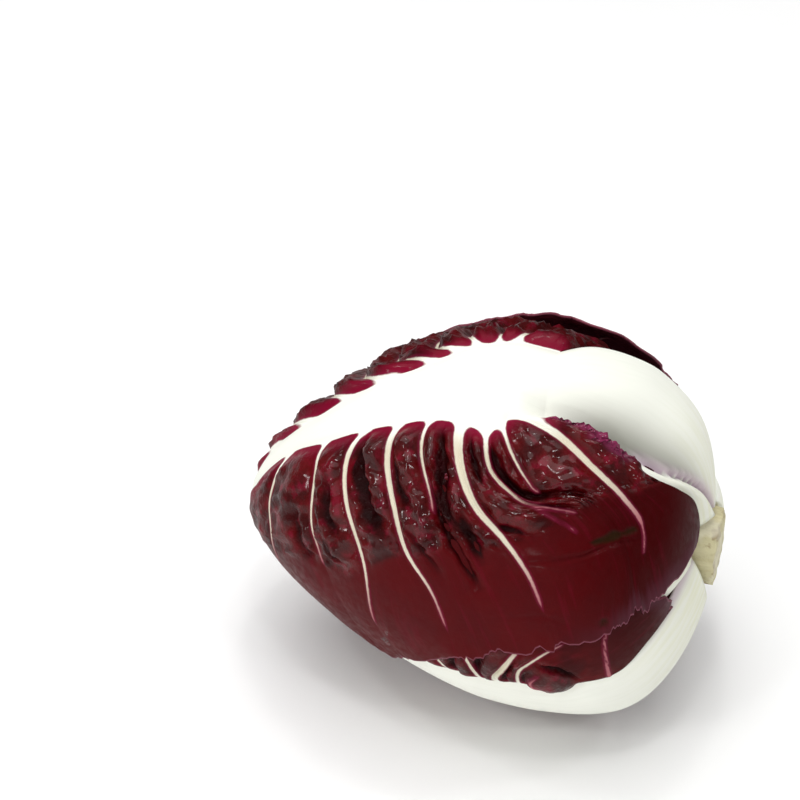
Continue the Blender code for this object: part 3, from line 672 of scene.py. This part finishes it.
def makeLeaf(leaf):
    drawn = "near" in leaf
    if drawn:
        nearCurves = np.array([smoothLine(row, leaf["nearSteps"] + 1) for row in leaf["near"]])
        farCurves = np.array([smoothLine(row, leaf["farSteps"] + 1) for row in leaf["far"]])
        nearVeins, farVeins = leaf["nearVeins"], leaf["farVeins"]
    else:
        nearCurves = ruledCurves(leaf, -1.0, leaf["nearSteps"] + 1)
        farCurves = ruledCurves(leaf, 1.0, leaf["farSteps"] + 1)
        lengths = leaf.get("lengths", rule["lengths"])
        nearVeins = [(1.1, 0.3, length) if length > 0.5 else (0.7, 0.25, length) for length in lengths]
        farVeins = leaf.get("farVeins", nearVeins)
    petiole, blade = leafRows(leaf, len(nearCurves))
    phase = np.concatenate([petiole, blade])
    shares = np.linspace(-1.0, 1.0, leaf["ribSteps"] + 1)
    ribGrid = ribPlane(leaf, phase, nearCurves[:, 0], farCurves[:, 0], shares)
    ribHeight, ribFinish = ribRelief(leaf, phase, ribGrid, shares)
    sides = []
    for side, curves, veins, steps, pillow in (
            (-1.0, nearCurves, nearVeins, leaf["nearSteps"], leaf["nearPillow"]),
            (1.0, farCurves, farVeins, leaf["farSteps"], leaf["farPillow"])):
        sides.append(bladeSide(leaf, side, curves, veins, blade, steps, pillow))

    # one grid: near margin, rib, far margin. Rows of the petiole hold the rib alone
    rowCount, skipped = len(phase), len(petiole)
    nearSteps, ribSteps = leaf["nearSteps"], leaf["ribSteps"]
    columnCount = nearSteps + ribSteps + leaf["farSteps"] + 1
    ribColumns = slice(nearSteps, nearSteps + ribSteps + 1)

    def joined(ribValues, nearValues, farValues):
        grid = np.zeros((rowCount, columnCount) + ribValues.shape[2:])
        grid[skipped:, :nearSteps + 1] = nearValues[:, ::-1]
        grid[skipped:, nearSteps + ribSteps:] = farValues
        grid[:, ribColumns] = ribValues
        return grid

    plane = joined(ribGrid, sides[0][0], sides[1][0])
    height = joined(ribHeight, sides[0][1], sides[1][1]) * mm
    finish = {}
    for name in ribFinish:
        finish[name] = joined(ribFinish[name], sides[0][2][name], sides[1][2][name])
    direction = leafDirection(leaf, plane)
    thick = np.full(height.shape, relief["bladeThick"]) * mm
    rounded = relief["ribThick"] * mm * (1.0 - shares ** 2)
    thick[:, ribColumns] += rounded * leaf["crown"] / leafShape["crown"]
    if leaf["petioleHollow"]:
        atEdge, atMiddle = relief["petioleThick"]
        thick[:skipped, ribColumns] = atEdge * mm + atMiddle * mm * np.clip(1.0 - shares ** 2, 0.0, 1.0)
    outer = insideFrame(placeOnHead(direction, leaf["layer"], height))
    inner = insideFrame(placeOnHead(direction, leaf["layer"], height - thick, thick))
    kept = np.zeros((rowCount - 1, columnCount - 1), bool)
    kept[skipped:] = True
    kept[:, nearSteps:nearSteps + ribSteps] = True
    piece = closedSheet(leaf["name"], outer, inner, kept, finish)
    settle(piece, leaf["nodes"], leafFinish)


def addThing(name, data):
    thing = bpy.data.objects.new(name, data)
    bpy.context.scene.collection.objects.link(thing)
    return thing


def settle(piece, nodes, material):
    piece.data.materials.append(material)
    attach(piece, "root")
    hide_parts(*nodes)
    print(piece.name, "stands for", len(nodes), "nodes with", len(piece.data.polygons), "faces")


def closedSheet(name, outer, inner, kept, finish):
    # two skins and the rim between them, from one grid
    rowCount, columnCount = outer.shape[:2]
    number = np.arange(rowCount * columnCount).reshape(rowCount, columnCount)
    corners = np.stack([number[:-1, :-1], number[:-1, 1:], number[1:, 1:], number[1:, :-1]], axis=-1)[kept]
    below = corners[:, ::-1] + rowCount * columnCount
    runs = np.concatenate([corners[:, [i, (i + 1) % 4]] for i in range(4)])
    ordered = np.sort(runs, axis=1)
    marks = ordered[:, 0] * 10 ** 7 + ordered[:, 1]
    first, counts = np.unique(marks, return_index=True, return_counts=True)[1:]
    rim = runs[first[counts == 1]]
    walls = np.stack([rim[:, 1], rim[:, 0], rim[:, 0] + rowCount * columnCount,
                      rim[:, 1] + rowCount * columnCount], axis=1)
    faces = np.concatenate([corners, below, walls])
    used, faces = np.unique(faces, return_inverse=True)
    faces = faces.reshape(-1, 4)
    points = np.concatenate([outer.reshape(-1, 3), inner.reshape(-1, 3)])[used]
    sideA, sideB = points[faces[0, 1]] - points[faces[0, 0]], points[faces[0, 2]] - points[faces[0, 0]]
    outwards = points[faces[0, 0]] - np.array([0.0, 0.0, head["middle"]])
    if np.cross(sideA, sideB) @ outwards < 0.0:
        faces = faces[:, ::-1]
    mesh = bpy.data.meshes.new(name)
    mesh.from_pydata(points.tolist(), [], faces.tolist())
    values = dict(finish, inside=np.zeros(outer.shape[:2]))
    for label, value in values.items():
        within = value.ravel() + (1.0 if label == "inside" else 0.0)
        both = np.concatenate([value.ravel(), within])[used]
        layer = mesh.attributes.new(label, "FLOAT", "POINT")
        layer.data.foreach_set("value", both.astype(np.float32))
    mesh.shade_smooth()
    mesh.update()
    return addThing(name, mesh)


# materials

class Finish:
    # a material whose nodes are added one call at a time
    def __init__(self, name):
        self.material = bpy.data.materials.new(name)
        self.material.use_nodes = True
        self.nodes = self.material.node_tree.nodes
        self.links = self.material.node_tree.links
        self.shader = self.nodes["Principled BSDF"]

    def put(self, socket, value):
        if isinstance(value, bpy.types.NodeSocket):
            self.links.new(value, socket)
        elif value is not None:
            socket.default_value = value

    def value(self, name):
        node = self.nodes.new("ShaderNodeAttribute")
        node.attribute_name = name
        return node.outputs["Fac"]

    def place(self, stretch=(1.0, 1.0, 1.0)):
        spot = self.nodes.new("ShaderNodeTexCoord").outputs["Object"]
        scaled = self.nodes.new("ShaderNodeVectorMath")
        scaled.operation = "MULTIPLY"
        self.links.new(spot, scaled.inputs[0])
        scaled.inputs[1].default_value = stretch
        return scaled.outputs[0]

    def joinedPlace(self, x, y, z=0.0):
        node = self.nodes.new("ShaderNodeCombineXYZ")
        for socket, value in zip(node.inputs, (x, y, z)):
            self.put(socket, value)
        return node.outputs[0]

    def cloud(self, spot, size, detail=2.0, rough=0.5):
        node = self.nodes.new("ShaderNodeTexNoise")
        self.links.new(spot, node.inputs["Vector"])
        node.inputs["Scale"].default_value = 1.0 / size
        node.inputs["Detail"].default_value = detail
        node.inputs["Roughness"].default_value = rough
        return node.outputs["Fac"]

    def math(self, kind, first, second=None):
        node = self.nodes.new("ShaderNodeMath")
        node.operation = kind
        self.put(node.inputs[0], first)
        self.put(node.inputs[1], second)
        return node.outputs[0]

    def times(self, first, *others):
        for other in others:
            first = self.math("MULTIPLY", first, other)
        return first

    def ramp(self, value, low, high, outLow=0.0, outHigh=1.0):
        node = self.nodes.new("ShaderNodeMapRange")
        node.interpolation_type = "SMOOTHSTEP"
        self.put(node.inputs["Value"], value)
        labels = ("From Min", "From Max", "To Min", "To Max")
        for label, amount in zip(labels, (low, high, outLow, outHigh)):
            node.inputs[label].default_value = amount
        return node.outputs["Result"]

    def mix(self, share, first, second):
        node = self.nodes.new("ShaderNodeMix")
        node.data_type = "RGBA"
        self.put(node.inputs[0], share)
        self.put(node.inputs[6], first)
        self.put(node.inputs[7], second)
        return node.outputs[2]

    def bump(self, height, depth, before=None, strength=None):
        node = self.nodes.new("ShaderNodeBump")
        node.inputs["Distance"].default_value = depth
        self.put(node.inputs["Strength"], strength)
        self.put(node.inputs["Height"], height)
        self.put(node.inputs["Normal"], before)
        return node.outputs["Normal"]

    def paint(self, colour, roughness, normal=None, **constants):
        self.put(self.shader.inputs["Base Color"], colour)
        self.put(self.shader.inputs["Roughness"], roughness)
        self.put(self.shader.inputs["Normal"], normal)
        for name, amount in constants.items():
            self.shader.inputs[name.replace("_", " ")].default_value = amount
        return self.material


leafMarks = ("white", "rib", "edge", "fade", "across", "along", "blush", "fold", "pucker", "bloomAndSheen", "scar",
             "inside")
leafColours = dict(
    deep=(0.036, 0.0003, 0.0007, 1), wine=(0.092, 0.0005, 0.0018, 1), dusk=(0.070, 0.0022, 0.0036, 1),
    crimson=(0.23, 0.002, 0.028, 1), magenta=(0.24, 0.014, 0.06, 1), shadow=(0.008, 0.0002, 0.0004, 1),
    bloomAndSheen=(0.080, 0.022, 0.034, 1), frill=(0.23, 0.024, 0.085, 1), scar=(0.020, 0.0075, 0.002, 1),
    rib=(0.86, 0.87, 0.79, 1), ribShade=(0.70, 0.72, 0.63, 1), ribYellow=(0.78, 0.78, 0.52, 1),
    ribHollowShade=(0.31, 0.31, 0.265, 1), vein=(0.66, 0.61, 0.48, 1), veinEnd=(0.40, 0.13, 0.15, 1),
    lilac=(0.50, 0.34, 0.46, 1), rim=(0.34, 0.10, 0.15, 1), inside=(0.16, 0.03, 0.05, 1),
)
leafPattern = dict(
    # patches: size, detail, roughness, the noise where they begin and are full, and what that gives
    mottle=(7.0 * mm, 3.0, 0.5, 0.35, 0.68), drift=(13.0 * mm, 4.0, 0.6, 0.36, 0.64),
    speck=(3.5 * mm, 2.0, 0.5, 0.5, 0.75), veinlet=(1.3, 3.0, 0.6, 0.53, 0.68),
    streak=(1.1, 3.0, 0.5, 0.42, 0.75), yellow=(1.1, 3.0, 0.5, 0.35, 0.68, 0.1, 0.45),
    gloss=(2.2 * mm, 2.0, 0.5, 0.3, 0.7, 0.34, 0.52),
    # spans of what the meshes are marked with: mm from the rib, the veins or the margin, rows, shares
    dullRib=(14.0, 34.0), dullPucker=(0.5, 0.0), lobe=(44.0, 20.0), ribSide=(7.0, 0.2), fold=(0.15, 0.9),
    halo=(0.8, 0.1), rim=(0.7, 0.1), isWhite=(0.15, -0.30), nearStem=(-28.0, -68.0), onRib=(0.0, -3.0),
    vein=(0.5, 9.0), veinEnd=(0.6, 1.0), waxFold=(0.4, 0.05), waxTip=(95.0, 72.0, 0.3, 1.0),
    # bumps: size, detail, roughness and depth
    grain=(0.9 * mm, 3.0, 0.6, 0.28 * mm), ripple=(2.6 * mm, 2.0, 0.5, 1.0 * mm),
    wrinkle=(1.6, 3.0, 0.5, 0.10 * mm), ribGrain=(0.7, 2.0, 0.5, 0.02 * mm),
)


class LeafFinish(Finish):
    # the leaves' material, from their marks and the patterns above
    def __init__(self, name):
        super().__init__(name)
        self.here = self.place()
        self.mark = {label: self.value(label) for label in leafMarks}
        wobble = self.math("SUBTRACT", self.cloud(self.here, 1.6 * mm), 0.5)
        self.band = self.math("ADD", self.mark["white"], self.times(wobble, 0.3))
        self.isWhite = self.over(self.band, "isWhite")

    def over(self, value, name):
        return self.ramp(value, *leafPattern[name])

    def patch(self, name, spot=None):
        size, detail, rough, *span = leafPattern[name]
        return self.ramp(self.cloud(spot or self.here, size, detail, rough), *span)

    def bumps(self, name, spot=None, before=None, strength=None):
        size, detail, rough, depth = leafPattern[name]
        return self.bump(self.cloud(spot or self.here, size, detail, rough), depth, before, strength)

    def lengthwise(self, shortened):
        # a place that runs along the veins, so that what is put there is drawn out
        return self.joinedPlace(self.mark["across"], self.times(self.mark["along"], shortened))

    def layered(self, colour, layers):
        for name, most, *shares in layers:
            colour = self.mix(self.times(*shares, most), colour, leafColours[name])
        return colour

    def redSide(self):
        # crimson beside the rib, wine red further out, duller towards the margin, painted shade on the lobe
        # end, grey bloom with painted sheen at the lobe's margin, painted shadow near black in the folds
        mark = self.mark
        dull = self.times(self.over(mark["pucker"], "dullPucker"), self.over(mark["rib"], "dullRib"))
        red = self.mix(self.patch("mottle"), leafColours["deep"], leafColours["wine"])
        return self.layered(red, (
            ("dusk", 1.0, dull),
            ("wine", 0.45, self.patch("drift"), dull),
            # painted shade: the lobe end darker, on the side away from the light
            ("deep", 0.85, self.over(mark["across"], "lobe"), dull),
            ("crimson", 0.7, self.over(mark["rib"], "ribSide")),
            ("crimson", 0.40, self.patch("speck"), mark["pucker"]),
            ("crimson", 0.10, self.patch("veinlet", self.lengthwise(0.05))),
            # grey bloom, partly real and partly painted sheen
            ("bloomAndSheen", 0.7, mark["bloomAndSheen"]),
            # painted shadow in the folds and painted shade on the far side
            ("shadow", 0.9, self.over(mark["fold"], "fold")),
            ("magenta", 0.32, self.over(self.band, "halo")),
            ("frill", 0.85, mark["blush"]),
            ("rim", 0.5, self.over(mark["edge"], "rim")),
            ("scar", 1.0, mark["scar"]),
            ("inside", 0.5, mark["inside"])))

    def whiteSide(self):
        # white rib and veins, with faint lengthwise streaks, yellower at the stem, and painted shade in the
        # top leaf's hollow and seam
        mark, streaked = self.mark, self.lengthwise(0.06)
        onRib = self.over(mark["rib"], "onRib")
        return self.layered(leafColours["rib"], (
            ("ribShade", 0.15, self.patch("streak", streaked)),
            ("ribYellow", 1.0, self.over(mark["along"], "nearStem"), onRib, self.patch("yellow", streaked)),
            # painted shade in the rib's hollow and along the seam
            ("ribHollowShade", 1.0, mark["fold"], onRib),
            ("vein", 1.0, self.over(mark["rib"], "vein")),
            ("veinEnd", 1.0, self.over(mark["fade"], "veinEnd")),
            ("lilac", 0.75, mark["blush"])))

    def surface(self):
        # puckered grain on the red, fine lengthwise grain on the white
        rippling = self.math("ADD", self.times(self.mark["pucker"], 0.9), 0.1)
        grain = self.bumps("grain", None, None, rippling)
        ripple = self.bumps("ripple", None, grain, rippling)
        netted = self.bumps("wrinkle", self.lengthwise(0.10), ripple)
        return self.mix(self.isWhite, netted, self.bumps("ribGrain", self.lengthwise(0.06)))


def makeLeafFinish():
    mat = LeafFinish("radicchioLeaf")
    colour = mat.mix(mat.isWhite, mat.redSide(), mat.whiteSide())
    rough = mat.mix(mat.isWhite, mat.patch("gloss"), (0.5, 0.5, 0.5, 1))
    # a waxy coat on the puckers, less of it in the folds and towards the tip
    waxed = mat.times(mat.mark["pucker"], mat.over(mat.mark["fold"], "waxFold"),
                      mat.over(mat.mark["across"], "waxTip"), 0.42)
    mat.put(mat.shader.inputs["Coat Weight"], mat.math("ADD", waxed, 0.02))
    return mat.paint(colour, rough, mat.surface(), Coat_Roughness=0.10, Specular_IOR_Level=0.05)


heartColours = dict(rib=(0.78, 0.74, 0.62, 1), blade=(0.20, 0.012, 0.035, 1))
stemColours = dict(flesh=(0.64, 0.59, 0.36, 1), fibre=(0.56, 0.50, 0.28, 1), brown=(0.26, 0.17, 0.08, 1),
                   pale=(0.78, 0.74, 0.58, 1))


def makeHeartFinish():
    mat = Finish("radicchioHeart")
    streak = mat.cloud(mat.place((18.0, 90.0, 90.0)), 1.0, 3.0)
    colour = mat.mix(mat.ramp(streak, 0.42, 0.6), heartColours["rib"], heartColours["blade"])
    normal = mat.bump(mat.cloud(mat.place(), 3.0 * mm, 3.0), 0.5 * mm)
    rough = mat.ramp(streak, 0.3, 0.7, 0.35, 0.5)
    return mat.paint(colour, rough, normal, Coat_Weight=0.2, Coat_Roughness=0.2)


def makeStemFinish():
    # fibres along the stem, brown blotches and paler patches
    mat = Finish("cutStem")
    here = mat.place()
    fibres = mat.cloud(mat.place((60.0, 420.0, 420.0)), 1.0, 4.0, 0.6)
    blotch = mat.cloud(here, 5.0 * mm, 4.0, 0.6)
    pale = mat.ramp(mat.cloud(here, 8.0 * mm, 2.0), 0.5, 0.62)
    colour = mat.mix(mat.ramp(fibres, 0.38, 0.66), stemColours["flesh"], stemColours["fibre"])
    colour = mat.mix(mat.times(mat.ramp(blotch, 0.54, 0.66), 0.8), colour, stemColours["brown"])
    colour = mat.mix(mat.times(pale, 0.6), colour, stemColours["pale"])
    normal = mat.bump(fibres, 0.5 * mm, mat.bump(mat.cloud(here, 0.8 * mm, 3.0, 0.65), 0.3 * mm))
    return mat.paint(colour, mat.ramp(blotch, 0.3, 0.7, 0.6, 0.85), normal)


leafFinish = makeLeafFinish()


# the stem: cut butt on the head's axis, with a torn rim and a rough cut face

# rag is the depth of its tears; the rest are their shares and how many there are to a metre
stem = dict(radius=12.5 * mm, buttRadius=11.7 * mm, innerEnd=43.4 * mm, cutEnd=59.2 * mm,
            sides=120, rings=26, faceRings=22, rag=0.9 * mm, faceRim=1.5 * mm,
            tear=0.8, ridge=0.7, lump=0.6, faceTear=0.9, faceLump=1.1,
            ridgesRound=4.0, ridgesAlong=60.0, lumps=160.0, faceLumps=300.0)


def stemRing(along, radius, angle):
    # one ring of the stem's points, torn and lumpy
    share = radius / stem["buttRadius"]
    x, y, z = np.full(angle.shape, along), radius * np.cos(angle), radius * np.sin(angle)
    around = stem["ridgesRound"]
    ridges = noiseAt(21.0, np.cos(angle) * around, np.sin(angle) * around, x * stem["ridgesAlong"])
    lumps = noiseAt(22.0, x * stem["lumps"], y * stem["lumps"], z * stem["lumps"])
    onFace = smoothStep(stem["cutEnd"] - stem["faceRim"], stem["cutEnd"], along) * share
    torn = stem["tear"] + stem["ridge"] * ridges + stem["lump"] * lumps
    reach = radius - stem["rag"] * torn * min(1.0, share)
    faceLumps = noiseAt(23.0, y * stem["faceLumps"], z * stem["faceLumps"])
    x = x - stem["rag"] * onFace * (stem["faceTear"] + stem["faceLump"] * faceLumps)
    return np.stack([x, reach * np.cos(angle), reach * np.sin(angle)], axis=-1)


def makeStem():
    # rings run up the side, then in over the cut face to its middle
    upSide = [(mixed(stem["innerEnd"], stem["cutEnd"], t), mixed(stem["radius"], stem["buttRadius"], t))
              for t in np.linspace(0.0, 1.0, stem["rings"])]
    overFace = [(stem["cutEnd"], stem["buttRadius"] * (1.0 - t))
                for t in np.linspace(0.0, 1.0, stem["faceRings"] + 1)[1:-1]]
    angle = np.linspace(0.0, 2.0 * np.pi, stem["sides"], endpoint=False)
    grid = np.array([stemRing(along, radius, angle) for along, radius in upSide + overFace])
    rings, sides = grid.shape[:2]
    number = np.arange(rings * sides).reshape(rings, sides)
    turned = np.roll(number, -1, axis=1)
    sideFaces = np.stack([number[:-1], turned[:-1], turned[1:], number[1:]], axis=-1)
    faces = sideFaces.reshape(-1, 4).tolist() + [number[-1].tolist(), number[0][::-1].tolist()]
    level = grid.reshape(-1, 3)
    level[:, 2] += head["middle"] + head["stemRise"] - head["stemLean"] * level[:, 0]
    mesh = bpy.data.meshes.new("stem")
    mesh.from_pydata(level.tolist(), [], faces)
    mesh.shade_smooth()
    settle(addThing("cutStem", mesh), ["stem"], makeStemFinish())


def dressHeart():
    # the heart is hidden: the frame's own solid, with a finish
    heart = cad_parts["heart"]
    heart.data.materials.clear()
    heart.data.materials.append(makeHeartFinish())


# floor, light and camera

studio = dict(floorSize=6.0, floorCloud=0.3, floorTone=(0.95, 0.95, 0.95, 1),
              floorShade=(0.9405, 0.9405, 0.93575, 1), worldTone=(1.0, 1.0, 1.0, 1.0), worldStrength=0.26)
lamps = [dict(name="overhead", at=(-0.15, 0.25, 1.60), size=2.0, power=20.0),
         dict(name="frontFill", at=(-0.55, -1.05, 0.45), size=1.2, power=3.5)]
# small lamps round the camera's line, each as degrees off that line and degrees round it
glints = dict(distance=0.9, size=0.10, power=0.62,
              at=((32, 20), (32, 90), (32, 160), (26, 270), (60, 45), (60, 90), (60, 135), (60, 180)))
# headAt is where the head's middle falls, in shares of the picture's width and height
camera = dict(azimuth=11.0, elevation=40.0, distance=0.75, lens=116.4, sensor=36.0, attempts=12,
              headAt=(519.0 / 800.0, 509.0 / 800.0))


def makeFloor():
    mesh = bpy.data.meshes.new("floor")
    half = studio["floorSize"] / 2.0
    mesh.from_pydata([(-half, -half, 0), (half, -half, 0), (half, half, 0), (-half, half, 0)], [],
                     [(0, 1, 2, 3)])
    mat = Finish("paleFloor")
    faint = mat.mix(mat.cloud(mat.place(), studio["floorCloud"]), studio["floorTone"], studio["floorShade"])
    mesh.materials.append(mat.paint(faint, 0.6))
    addThing("floor", mesh)


def makeSoftLight(lampSetting):
    lamp = bpy.data.lights.new(lampSetting["name"], "AREA")
    lamp.shape, lamp.size, lamp.energy = "DISK", lampSetting["size"], lampSetting["power"]
    thing = addThing(lampSetting["name"], lamp)
    thing.location = lampSetting["at"]
    aim = Vector((0.0, 0.0, head["middle"])) - Vector(lampSetting["at"])
    thing.rotation_euler = aim.to_track_quat("-Z", "Y").to_euler()


def towardsCamera():
    azimuth, elevation = math.radians(camera["azimuth"]), math.radians(camera["elevation"])
    level = math.cos(elevation)
    return Vector((math.sin(azimuth) * level, -math.cos(azimuth) * level, math.sin(elevation)))


def makeLight():
    world = bpy.data.worlds.new("softRoom")
    world.use_nodes = True
    sky = world.node_tree.nodes["Background"].inputs
    sky["Color"].default_value = studio["worldTone"]
    sky["Strength"].default_value = studio["worldStrength"]
    bpy.context.scene.world = world
    for lampSetting in lamps:
        makeSoftLight(lampSetting)
    back = towardsCamera()
    right = Vector((0.0, 0.0, 1.0)).cross(back).normalized()
    up = back.cross(right)
    for number, (off, turn) in enumerate(glints["at"]):
        off, turn = math.radians(off), math.radians(turn)
        sideways = right * math.cos(turn) + up * math.sin(turn)
        way = back * math.cos(off) + sideways * math.sin(off)
        spot = Vector((0.0, 0.0, head["middle"])) + way * glints["distance"]
        makeSoftLight(dict(glints, name="glint%d" % number, at=tuple(spot)))


def makeCamera():
    # turned so that the head's middle falls on headAt, in a square picture
    middle = Vector((0.0, 0.0, head["middle"]))
    spot = middle + towardsCamera() * camera["distance"]
    wide = camera["sensor"] / camera["lens"]  # the picture's width at one metre
    aim = middle.copy()
    for attempt in range(camera["attempts"]):
        ahead = (aim - spot).normalized()
        right = ahead.cross(Vector((0.0, 0.0, 1.0))).normalized()
        up = right.cross(ahead)
        offset = (middle - spot) / (middle - spot).dot(ahead)
        seenX = 0.5 + offset.dot(right) / wide
        seenY = 0.5 - offset.dot(up) / wide
        reach = wide * camera["distance"]
        aim += right * (seenX - camera["headAt"][0]) * reach - up * (seenY - camera["headAt"][1]) * reach
    lens = bpy.data.cameras.new("camera")
    lens.lens, lens.sensor_width = camera["lens"], camera["sensor"]
    lens.clip_start, lens.clip_end = 0.05, 20.0
    viewer = addThing("camera", lens)
    viewer.location = spot
    viewer.rotation_euler = (aim - spot).to_track_quat("-Z", "Y").to_euler()
    bpy.context.scene.camera = viewer


makeCamera()
makeFloor()
makeLight()
bpy.context.scene.view_settings.view_transform = "Standard"
print("camera, floor and light ready")
for leaf in [topLeaf, lowLeaf, backLeaf] + innerLeaves:
    makeLeaf(leaf)
makeStem()
dressHeart()
print("radicchio dressed")
